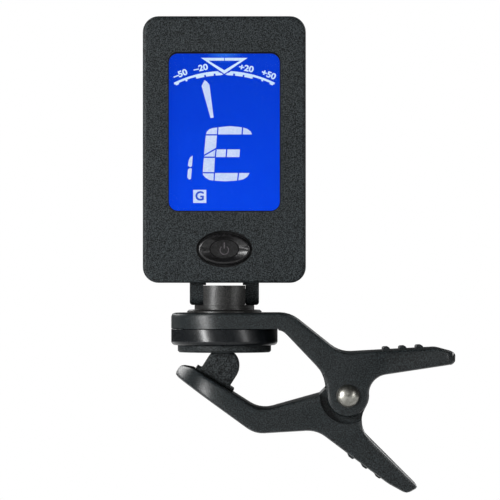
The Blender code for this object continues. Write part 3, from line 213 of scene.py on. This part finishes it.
SHELL = surface("shell_grain", (0.0001, 0.0004, 0.0006), (0.041, 0.0495, 0.053), 0.50, 0.21, 0.034, 0.05,
                specular=0.17)
ARM = surface("arm_satin", (0.0001, 0.0006, 0.0008), (0.0235, 0.0305, 0.033), 0.38, 0.22, 0.013, 0.05,
              specular=0.33)
COVER = surface("cover_gloss", (0.002, 0.003, 0.004), (0.008, 0.0095, 0.011), 0.27, 0.5, 0.003, 0.05,
                specular=0.40)
NECK = surface("neck_satin", (0.001, 0.001, 0.001), (0.028, 0.028, 0.027), 0.42, 0.22, 0.012, 0.05,
               specular=0.42)
RUBBER = surface("pad_rubber_matte", (0.0001, 0.0006, 0.0008), (0.036, 0.042, 0.044), 0.60, 0.22, 0.018, 0.06,
                 specular=0.17)
BUTTON = surface("button_rubber_satin", (0.003, 0.003, 0.003), (0.015, 0.015, 0.016), 0.30, 0.3, 0.003, 0.05,
                 specular=0.44)
STEEL = surface("polished_steel", (0.27, 0.266, 0.24), (0.40, 0.394, 0.36), 0.32, 0.6, 0.001, 0.05,
                metallic=1.0)
WIRE = surface("spring_wire", (0.17, 0.17, 0.17), (0.28, 0.28, 0.28), 0.36, 0.3, 0.001, 0.05, metallic=1.0)

MATERIALS = {
    "shell_plastic": SHELL,
    "arm_plastic": ARM,
    "cover_plastic": COVER,
    "button_rubber": BUTTON,
    "pad_rubber": RUBBER,
    "lens_acrylic": clear_lens(),
    "display_glass": display_blue(),
    "light_guide": surface("light_guide_clear", (0.45, 0.62, 0.90), (0.60, 0.74, 0.96), 0.3, 0.8, 0.004),
    "led_white": surface("led_resin", (0.80, 0.82, 0.66), (0.88, 0.90, 0.80), 0.4, 0.3, 0.003),
    "zebra_rubber": surface("zebra_layers", (0.10, 0.09, 0.09), (0.62, 0.50, 0.50), 0.6, 0.4, 0.004,
                            stretch=(1.0, 0.05, 0.05)),
    "circuit_board": surface("solder_mask", (0.008, 0.10, 0.035), (0.018, 0.17, 0.06), 0.35, 0.9, 0.006,
                             coat=0.3),
    "component_black": surface("component_resin", (0.012, 0.012, 0.012), (0.032, 0.032, 0.032), 0.45, 0.2,
                               0.006),
    "switch_metal": surface("tinned_sheet", (0.52, 0.52, 0.50), (0.68, 0.68, 0.66), 0.32, 0.4, 0.002,
                            metallic=1.0),
    "contact_metal": surface("contact_strip", (0.60, 0.55, 0.40), (0.76, 0.70, 0.52), 0.28, 0.4, 0.002,
                             metallic=1.0, stretch=(1.0, 1.0, 0.15)),
    "steel": STEEL,
    "spring_steel": WIRE,
    "brass": surface("rolled_brass", (0.60, 0.43, 0.15), (0.74, 0.56, 0.24), 0.3, 0.5, 0.002, metallic=1.0,
                     stretch=(0.1, 1.0, 1.0)),
    "ceramic": surface("silvered_ceramic", (0.70, 0.68, 0.62), (0.84, 0.82, 0.76), 0.5, 0.3, 0.004),
    "wire_red": surface("wire_sleeve_red", (0.42, 0.015, 0.01), (0.60, 0.03, 0.02), 0.42, 0.3, 0.003),
    "wire_black": surface("wire_sleeve_black", (0.012, 0.012, 0.012), (0.03, 0.03, 0.03), 0.42, 0.3, 0.003),
}
SLOT_OF = {entry["node"]: entry["material_slot"] for entry in frame["record"]["subparts"]}
OWN_LOOK = {"swivel_neck": NECK}


# ---------------------------------------------------------------- carried-over solids

WELD_REACH = 2e-6
HARD_EDGE_DEG = 32.0
NORMAL_WEIGHT = 80


def smooth_node(name):
    """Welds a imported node's facets, splits its hard edges and weights its normals by face area."""
    node = NODES[name]
    mesh = node.data
    for attribute in ("custom_normal", "sharp_edge", "sharp_face"):
        if attribute in mesh.attributes:
            mesh.attributes.remove(mesh.attributes[attribute])
    mesh.shade_smooth()
    weld = node.modifiers.new("weld", "WELD")
    weld.merge_threshold = WELD_REACH
    split = node.modifiers.new("hard_edges", "EDGE_SPLIT")
    split.split_angle = math.radians(HARD_EDGE_DEG)
    split.use_edge_sharp = False
    weighted = node.modifiers.new("weighted_normals", "WEIGHTED_NORMAL")
    weighted.keep_sharp = True
    weighted.weight = NORMAL_WEIGHT


for node_name, node in NODES.items():
    smooth_node(node_name)
    look = OWN_LOOK.get(node_name, MATERIALS[SLOT_OF[node_name]])
    for slot in node.material_slots:
        slot.material = look


# ---------------------------------------------------------------- new pieces

def add_piece(name, mesh, material, body, slot_name, *replaced):
    piece = bpy.data.objects.new(name, mesh)
    bpy.context.scene.collection.objects.link(piece)
    piece.data.materials.clear()
    piece.data.materials.append(material)
    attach(piece, body)
    if replaced:
        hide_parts(*replaced)


MARK_DEPTH = 0.03


def sheet_mesh(name, outlines, centre, front_y, depth_mm=MARK_DEPTH):
    """Thin closed shapes facing -Y: outlines in millimetres about a centre, sunk back from front_y."""
    mesh = bpy.data.meshes.new(name)
    shape = bmesh.new()
    for outline in outlines:
        area = sum(a[0] * b[1] - b[0] * a[1] for a, b in zip(outline, outline[1:] + outline[:1]))
        ordered = outline if area > 0 else outline[::-1]
        front = [shape.verts.new((centre.x + u * MM, front_y, centre.z + v * MM)) for u, v in ordered]
        back = [shape.verts.new((centre.x + u * MM, front_y + depth_mm * MM, centre.z + v * MM))
                for u, v in ordered]
        shape.faces.new(front)
        shape.faces.new(back[::-1])
        count = len(ordered)
        for index in range(count):
            following = (index + 1) % count
            shape.faces.new((front[following], front[index], back[index], back[following]))
    bmesh.ops.recalc_face_normals(shape, faces=shape.faces)
    shape.to_mesh(mesh)
    shape.free()
    return mesh


def ring_part(radius_in, radius_out, start_deg, end_deg, centre):
    """Outline of a piece of a flat ring between two angles measured from straight up, clockwise."""
    steps = max(2, int(abs(end_deg - start_deg) / 3) + 1)
    outer = []
    inner = []
    for step in range(steps + 1):
        angle = math.radians(start_deg + (end_deg - start_deg) * step / steps)
        across = math.sin(angle)
        up = math.cos(angle)
        outer.append((centre[0] + radius_out * across, centre[1] + radius_out * up))
        inner.append((centre[0] + radius_in * across, centre[1] + radius_in * up))
    return outer + inner[::-1]


# Display marks, in millimetres about the window's middle
MARK_Y = PANEL_LOW.y - 0.05 * MM
MARKER_Y = MARK_Y - 0.01 * MM
BADGE_LETTER_Y = MARK_Y - 0.03 * MM
DIAL_RADIUS = 21.77
DIAL_CENTRE = (0.0, -10.11)
DIAL_BAND = (0.42, 0.0, 1.16, 9.62)
DIAL_TICKS = [
    (0.80, 0.40, 0.72, 1.72),
    (0.80, 0.40, 2.08, 3.60),
    (0.80, 0.40, 3.92, 5.53),
    (0.70, 0.40, 7.22, 7.56),
    (0.66, 0.40, 8.85, 9.46),
]
DIAL_END = [(0.72, 11.22), (1.16, 11.53), (1.16, 11.12), (0.72, 11.12)]
DIAL_NIB = [(0.20, 10.98), (0.72, 11.36), (0.72, 10.84)]
MARKER_TOP = 14.15
MARKER_INNER_TOP = 13.62
MARKER_HALF_WIDTH = 4.42
MARKER_INNER_HALF_WIDTH = 3.02
MARKER_POINT = 11.12
MARKER_INNER_POINT = 11.80
MARKER_SPLIT = 0.07
NEEDLE = [(-3.75, 9.95), (-4.32, 8.80), (-2.62, 2.70), (-2.04, 2.80), (-2.84, 9.05), (-3.24, 9.55)]
LIT = display_mark("segment_lit", (0.52, 0.64, 0.88), (0.66, 0.74, 0.94))
LINE = display_mark("marking_lit", (0.58, 0.76, 0.98), (0.68, 0.84, 1.0))
BADGE = display_mark("badge_field", (0.004, 0.06, 0.55), (0.006, 0.08, 0.68))


def display_piece(name, outlines, material, front_y=MARK_Y):
    add_piece(name, sheet_mesh(name, outlines, WINDOW, front_y), material, "head", "display_glass")


def dial_angle(offset_mm):
    return math.degrees(math.asin(offset_mm / DIAL_RADIUS))


def dial_part(side, inner_drop, outer_drop, start_mm, end_mm):
    """Part of the dial's ring on one side: its drops below the outer radius and its reach from the middle."""
    return ring_part(DIAL_RADIUS - inner_drop, DIAL_RADIUS - outer_drop,
                     dial_angle(side * start_mm), dial_angle(side * end_mm), DIAL_CENTRE)


dial = []
for side in (-1, 1):
    dial.append(dial_part(side, *DIAL_BAND))
    dial.append([(side * u, v) for u, v in DIAL_END])
    for tick in DIAL_TICKS:
        dial.append(dial_part(side, *tick))
    dial.append([(side * u, v) for u, v in DIAL_NIB])
display_piece("dial_scale", dial, LINE)

marker = []
for side in (-1, 1):
    corner = (side * MARKER_HALF_WIDTH, MARKER_TOP)
    inner_corner = (side * MARKER_INNER_HALF_WIDTH, MARKER_INNER_TOP)
    split = side * MARKER_SPLIT
    marker.append([(split, MARKER_TOP), corner, inner_corner, (split, MARKER_INNER_TOP)])
    marker.append([corner, inner_corner, (0.0, MARKER_INNER_POINT), (0.0, MARKER_POINT)])
display_piece("centre_marker", marker, LINE, MARKER_Y)
display_piece("dial_needle", [NEEDLE], LIT)


# Segments of the note letter and the string number, in millimetres about the window's middle
LETTER = [
    [(-3.49, -0.37), (-3.30, 0.14), (-2.87, 0.57), (-2.21, 0.80), (-1.35, 0.92), (-1.41, -0.37)],
    [(-1.10, 0.95), (1.04, 1.17), (3.35, 0.95), (3.25, -0.41), (-1.18, -0.41)],
    [(3.60, 0.90), (4.38, 0.64), (5.04, 0.12), (5.25, -0.41), (3.50, -0.41)],
    [(-3.53, -0.62), (-1.41, -0.62), (-1.59, -2.97), (-3.86, -4.25)],
    [(-3.74, -4.49), (-1.70, -3.34), (-1.82, -4.62), (-3.86, -4.62)],
    [(-1.45, -3.26), (0.32, -3.26), (0.22, -4.72), (-1.59, -4.72)],
    [(0.59, -3.26), (2.98, -3.26), (2.86, -4.72), (0.47, -4.72)],
    [(-3.90, -4.88), (-1.80, -4.88), (-1.94, -7.58), (-4.11, -7.58)],
    [(-4.11, -7.83), (-2.00, -7.83), (-2.07, -9.19), (-2.87, -9.07), (-3.59, -8.63), (-4.06, -8.10)],
    [(-1.76, -7.75), (2.55, -7.75), (2.42, -9.19), (0.22, -9.33), (-1.84, -9.21)],
    [(2.84, -7.75), (4.81, -7.75), (4.38, -8.45), (3.64, -8.94), (2.67, -9.15)],
]
DIGIT = [
    [(-6.02, -4.45), (-6.15, -6.43), (-6.52, -6.68), (-6.93, -6.35), (-6.76, -5.28), (-6.47, -4.74)],
    [(-6.17, -6.92), (-6.35, -8.86), (-6.70, -9.00), (-7.05, -8.61), (-6.93, -7.09), (-6.58, -6.84)],
]
BADGE_CENTRE = (-4.68, -12.20)
BADGE_HALF = 1.25
display_piece("note_letter", LETTER, LIT)
display_piece("string_digit", DIGIT, LIT)
badge = [(BADGE_CENTRE[0] + across * BADGE_HALF, BADGE_CENTRE[1] + up * BADGE_HALF)
         for across, up in ((-1, -1), (1, -1), (1, 1), (-1, 1))]
display_piece("mode_badge", [badge], LIT)


# Lettering, in millimetres
LABEL_SIZE = 1.58
LABEL_WEIGHT = 0.055
LABEL_WIDTH = 1.13
MODE_SIZE = 2.35
MODE_WEIGHT = 0.07
LETTER_DEPTH = 0.008


def lettering(name, body, size_mm, place, turn_deg, material, front_y, weight, wide=1.0):
    """Flat generic lettering standing on the window's plane, centred on a place in millimetres."""
    curve = bpy.data.curves.new(name, "FONT")
    curve.body = body
    curve.size = size_mm * MM
    curve.align_x = "CENTER"
    curve.align_y = "CENTER"
    curve.extrude = LETTER_DEPTH * MM
    curve.offset = weight * MM
    holder = bpy.data.objects.new(name + "_text", curve)
    bpy.context.scene.collection.objects.link(holder)
    turn = Matrix.Rotation(math.radians(90), 4, "X") @ Matrix.Rotation(math.radians(turn_deg), 4, "Z")
    stretch = Matrix.Diagonal((wide, 1.0, 1.0, 1.0))
    at = Vector((WINDOW.x + place[0] * MM, front_y, WINDOW.z + place[1] * MM))
    holder.matrix_world = Matrix.Translation(at) @ turn @ stretch
    bpy.context.view_layer.update()
    graph = bpy.context.evaluated_depsgraph_get()
    mesh = bpy.data.meshes.new_from_object(holder.evaluated_get(graph))
    mesh.transform(holder.matrix_world)
    bpy.data.objects.remove(holder)
    add_piece(name, mesh, material, "head", "display_glass")


for label, text, place, turn in (
    ("dial_low_far", "\u201350", (-8.35, 11.05), 21.0),
    ("dial_low_near", "\u201320", (-4.46, 12.18), 11.0),
    ("dial_high_near", "+20", (4.16, 12.14), -11.0),
    ("dial_high_far", "+50", (8.41, 10.95), -21.0),
):
    lettering(label, text, LABEL_SIZE, place, turn, LINE, MARK_Y, LABEL_WEIGHT, LABEL_WIDTH)
lettering("mode_letter", "G", MODE_SIZE, BADGE_CENTRE, 0.0, BADGE, BADGE_LETTER_Y, MODE_WEIGHT)


# ---------------------------------------------------------------- power mark on the button

MARK_MOULD = surface("button_mark", (0.05, 0.045, 0.05), (0.11, 0.10, 0.11), 0.3, 0.2, 0.003, 0.04)
DISH_DEPTH = 0.65
DISH_FLOOR_Y = BUTTON_LOW.y + DISH_DEPTH * MM
POWER_RING = ring_part(0.74, 0.88, 38, 322, (0.0, -0.2))
POWER_BAR = [(-0.10, 0.05), (0.10, 0.05), (0.10, 1.28), (-0.10, 1.28)]
POWER_RISE = 0.05
POWER_DEPTH = 0.12
power_mesh = sheet_mesh("power_mark", [POWER_RING, POWER_BAR], BUTTON_AT, DISH_FLOOR_Y - POWER_RISE * MM,
                        POWER_DEPTH)
add_piece("power_mark", power_mesh, MARK_MOULD, "button", "button_rubber")


# ---------------------------------------------------------------- painted shade: dark band where the window's edge turns in

def border_mesh(name, inner, outer, front_y, depth_mm):
    """Flat ring between two outlines with equally many points, in millimetres about the window's middle."""
    mesh = bpy.data.meshes.new(name)
    shape = bmesh.new()
    rows = []
    back_y = front_y + depth_mm * MM
    for outline, y in ((inner, front_y), (outer, front_y), (outer, back_y), (inner, back_y)):
        rows.append([shape.verts.new((WINDOW.x + u * MM, y, WINDOW.z + v * MM)) for u, v in outline])
    count = len(inner)
    for row, following in zip(rows, rows[1:] + rows[:1]):
        for index in range(count):
            after = (index + 1) % count
            shape.faces.new((row[index], row[after], following[after], following[index]))
    bmesh.ops.recalc_face_normals(shape, faces=shape.faces)
    shape.to_mesh(mesh)
    shape.free()
    return mesh


CORNER_STEPS = 8


def window_outline(side, low, high, corner):
    """Rectangle with round corners: its half width, its lower and upper edge and the corners' radius."""
    points = []
    for turn, (u, v) in enumerate(((1, 1), (-1, 1), (-1, -1), (1, -1))):
        centre = (u * (side - corner), high - corner if v > 0 else low + corner)
        for step in range(CORNER_STEPS + 1):
            angle = math.radians(90 * turn + 90 * step / CORNER_STEPS)
            points.append((centre[0] + corner * math.cos(angle), centre[1] + corner * math.sin(angle)))
    return points


# Painted shade: a near-black band on the shell round the window, widest along the top, stands in for the shade
# where the window's edge turns in
WINDOW_EDGE_SHADE = surface("window_edge_painted_shade", (0.0015, 0.002, 0.004), (0.003, 0.004, 0.008), 0.5, 0.3, 0.004, 0.05,
                    specular=0.1)
WINDOW_HALF_WIDTH = 10.525
WINDOW_HALF_HEIGHT = 14.925
WINDOW_CORNER = 1.7
EDGE_RISE = 0.02
EDGE_FIT = 0.01
EDGE_SIDE = 0.14
EDGE_FOOT = 0.16
EDGE_HEAD = 0.34
EDGE_CORNER = 1.8
inner_edge = window_outline(WINDOW_HALF_WIDTH + EDGE_FIT, -WINDOW_HALF_HEIGHT - EDGE_FIT,
                            WINDOW_HALF_HEIGHT + EDGE_FIT, WINDOW_CORNER)
outer_edge = window_outline(WINDOW_HALF_WIDTH + EDGE_SIDE, -WINDOW_HALF_HEIGHT - EDGE_FOOT,
                            WINDOW_HALF_HEIGHT + EDGE_HEAD, EDGE_CORNER)
edge_shade_mesh = border_mesh("window_edge_shade_line", inner_edge, outer_edge, HEAD_FRONT - EDGE_RISE * MM, MARK_DEPTH)
add_piece("window_edge_shade_line", edge_shade_mesh, WINDOW_EDGE_SHADE, "head", "shell_plastic")


# ---------------------------------------------------------------- painted shade of a groove, and a bead, round the dish's floor

# Painted shade: a near-black flat ring proud of the dish's floor stands in for the shade in a groove round it; the
# bead below keeps the button's own material
GROOVE_SHADE = surface("button_groove_painted_shade", (0.0015, 0.0015, 0.0018), (0.003, 0.003, 0.0035), 0.45, 0.3,
                    0.002, 0.05, specular=0.15)
# Half width and half height of the ovals, in millimetres
GROOVE_INNER = (2.62, 1.72)
GROOVE_OUTER = (2.84, 1.90)
BEAD_INNER = (2.46, 1.58)
BEAD_OUTER = (2.60, 1.70)
OVAL_STEPS = 48


def oval(half_width, half_height):
    """Outline of an oval round the button's middle, measured from the window's middle."""
    drop = (BUTTON_AT.z - WINDOW.z) / MM
    points = []
    for step in range(OVAL_STEPS):
        angle = 2 * math.pi * step / OVAL_STEPS
        points.append((half_width * math.cos(angle), drop + half_height * math.sin(angle)))
    return points


def dish_ring(name, inner, outer, rise_mm, depth_mm, material):
    """Flat oval ring standing a little proud of the dish's floor."""
    mesh = border_mesh(name, oval(*inner), oval(*outer), DISH_FLOOR_Y - rise_mm * MM, depth_mm)
    add_piece(name, mesh, material, "button", "button_rubber")


dish_ring("button_groove_painted_shade", GROOVE_INNER, GROOVE_OUTER, 0.04, 0.06, GROOVE_SHADE)
dish_ring("button_ring_bead", BEAD_INNER, BEAD_OUTER, 0.09, 0.12, BUTTON)


# ---------------------------------------------------------------- moulded arrow on the battery door

ARROW = [(0.0, 2.6), (-2.0, 0.3), (-0.8, 0.3), (-0.8, -1.6), (0.8, -1.6), (0.8, 0.3), (2.0, 0.3)]
ARROW_ABOVE_FOOT = 15.5
ARROW_AT = Vector((0.0, 0.0, DOOR_LOW.z + ARROW_ABOVE_FOOT * MM))
ARROW_SINK = 0.1
ARROW_DEPTH = 0.4
arrow_mesh = sheet_mesh("door_arrow", [ARROW], ARROW_AT, DOOR_HIGH.y - ARROW_SINK * MM, ARROW_DEPTH)
add_piece("door_arrow", arrow_mesh, ARM, "door", "shell_plastic")


# ---------------------------------------------------------------- torsion spring, split where it bends

COIL_RADIUS = 2.7 * MM
WIRE_RADIUS = 0.5 * MM
COIL_HALF = 4.2 * MM
COIL_TURNS = 6
COIL_STEPS = 28
BEND_STEPS = 5
BEND_STEP_ANGLE = 0.15
UPPER_LEG_END = Vector((38.5 * MM, 0, -1.35 * MM))
LOWER_LEG_END = Vector((30.3 * MM, 0, -20.6 * MM))


def wire(name, points, body):
    """Length of the spring's wire along a row of points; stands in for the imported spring."""
    curve = bpy.data.curves.new(name, "CURVE")
    curve.dimensions = "3D"
    curve.bevel_depth = WIRE_RADIUS
    curve.bevel_resolution = 4
    curve.use_fill_caps = True
    spline = curve.splines.new("POLY")
    spline.points.add(len(points) - 1)
    for point, place in zip(spline.points, points):
        point.co = (*place, 1.0)
    spline.use_smooth = True
    add_piece(name, curve, WIRE, body, "spring_steel", "torsion_spring")


def on_coil(angle, depth):
    """Place on the coil's middle line at an angle about the pivot and a depth along it."""
    return Vector((PIVOT.x + COIL_RADIUS * math.cos(angle), depth, PIVOT.z + COIL_RADIUS * math.sin(angle)))


upper_reach = UPPER_LEG_END - PIVOT
lower_reach = LOWER_LEG_END - PIVOT
coil_start = math.atan2(upper_reach.z, upper_reach.x) + math.acos(COIL_RADIUS / upper_reach.length)
coil_end = math.atan2(lower_reach.z, lower_reach.x) - math.acos(COIL_RADIUS / lower_reach.length)
sweep = (coil_end - coil_start) % (2 * math.pi) + 2 * math.pi * COIL_TURNS
route = [Vector((UPPER_LEG_END.x, -COIL_HALF, UPPER_LEG_END.z))]
for step in range(COIL_TURNS * COIL_STEPS + 1):
    part = step / (COIL_TURNS * COIL_STEPS)
    route.append(on_coil(coil_start + sweep * part, -COIL_HALF + 2 * COIL_HALF * part))
wire("spring_coil", route, "clip_base")
leg = [on_coil(coil_end + BEND_STEP_ANGLE * step, COIL_HALF) for step in range(-BEND_STEPS, 1)]
leg.append(Vector((LOWER_LEG_END.x, COIL_HALF, LOWER_LEG_END.z)))
wire("spring_lower_leg", leg, "clip_jaw")


# ---------------------------------------------------------------- stage, lights and camera

def stage_mesh(name, mesh, material):
    made = bpy.data.objects.new(name, mesh)
    bpy.context.scene.collection.objects.link(made)
    made.data.materials.append(material)


FLOOR_RADIUS = 0.62
FLOOR_SIDES = 96
FLOOR_AT = (0.005, 0.0, -0.060)
FLOOR_PAPER = surface("floor_paper", (0.86, 0.86, 0.86), (0.90, 0.90, 0.90), 0.8, 0.6, 0.01)
floor_mesh = bpy.data.meshes.new("floor")
floor_shape = bmesh.new()
bmesh.ops.create_circle(floor_shape, cap_ends=True, segments=FLOOR_SIDES, radius=FLOOR_RADIUS,
                        matrix=Matrix.Translation(FLOOR_AT))
floor_shape.to_mesh(floor_mesh)
floor_shape.free()
stage_mesh("floor", floor_mesh, FLOOR_PAPER)

# The camera sees a white room; the tuner is lit by a dim one and by the softboxes
ROOM_STRENGTH = 0.03
world = bpy.data.worlds.new("studio")
bpy.context.scene.world = world
world.use_nodes = True
tree = world.node_tree
tree.nodes.clear()
seen = tree.nodes.new("ShaderNodeBackground")
seen.inputs["Color"].default_value = (1.0, 1.0, 1.0, 1.0)
seen.inputs["Strength"].default_value = 1.0
room = tree.nodes.new("ShaderNodeBackground")
room.inputs["Color"].default_value = (0.95, 0.98, 1.0, 1.0)
room.inputs["Strength"].default_value = ROOM_STRENGTH
path = tree.nodes.new("ShaderNodeLightPath")
chosen = tree.nodes.new("ShaderNodeMixShader")
output = tree.nodes.new("ShaderNodeOutputWorld")
link(tree, path.outputs["Is Camera Ray"], chosen.inputs[0])
link(tree, room.outputs[0], chosen.inputs[1])
link(tree, seen.outputs[0], chosen.inputs[2])
link(tree, chosen.outputs[0], output.inputs[0])


AIM = Vector((0.003, 0.0, 0.019))


def softbox(name, azimuth_deg, height, distance, width, tall, power):
    """Area light aimed at the tuner's middle; its azimuth is 0 at the camera and positive to the right."""
    angle = math.radians(azimuth_deg)
    light = bpy.data.lights.new(name, "AREA")
    light.shape = "RECTANGLE"
    light.size = width
    light.size_y = tall
    light.energy = power
    lamp = bpy.data.objects.new(name, light)
    bpy.context.scene.collection.objects.link(lamp)
    lamp.location = AIM + Vector((distance * math.sin(angle), -distance * math.cos(angle), height))
    lamp.rotation_euler = (AIM - lamp.location).to_track_quat("-Z", "Y").to_euler()


softbox("key_left", -44, 0.10, 0.62, 0.10, 0.30, 4.2)
softbox("fill_right", 44, 0.04, 0.66, 0.07, 0.26, 0.8)
softbox("front_soft", -6, 0.34, 1.30, 0.50, 0.30, 0.95)
softbox("back_left", -140, 0.40, 0.80, 0.60, 0.50, 5.2)
softbox("back_right", 132, 0.36, 0.80, 0.60, 0.50, 4.5)

SENSOR_WIDTH = 36.0
FRAME_WIDTH = 0.095
DISTANCE = 1.10
CAMERA_X = 0.004883
CAMERA_Z = 0.0195
camera_data = bpy.data.cameras.new("camera")
camera_data.sensor_width = SENSOR_WIDTH
camera_data.lens = SENSOR_WIDTH * DISTANCE / FRAME_WIDTH
camera_data.clip_start = 0.05
camera_data.clip_end = 20.0
camera = bpy.data.objects.new("camera", camera_data)
bpy.context.scene.collection.objects.link(camera)
camera.location = (CAMERA_X, HEAD_FRONT - DISTANCE, CAMERA_Z)
camera.rotation_euler = (math.radians(90), 0.0, 0.0)
bpy.context.scene.camera = camera
bpy.context.scene.view_settings.view_transform = "Standard"
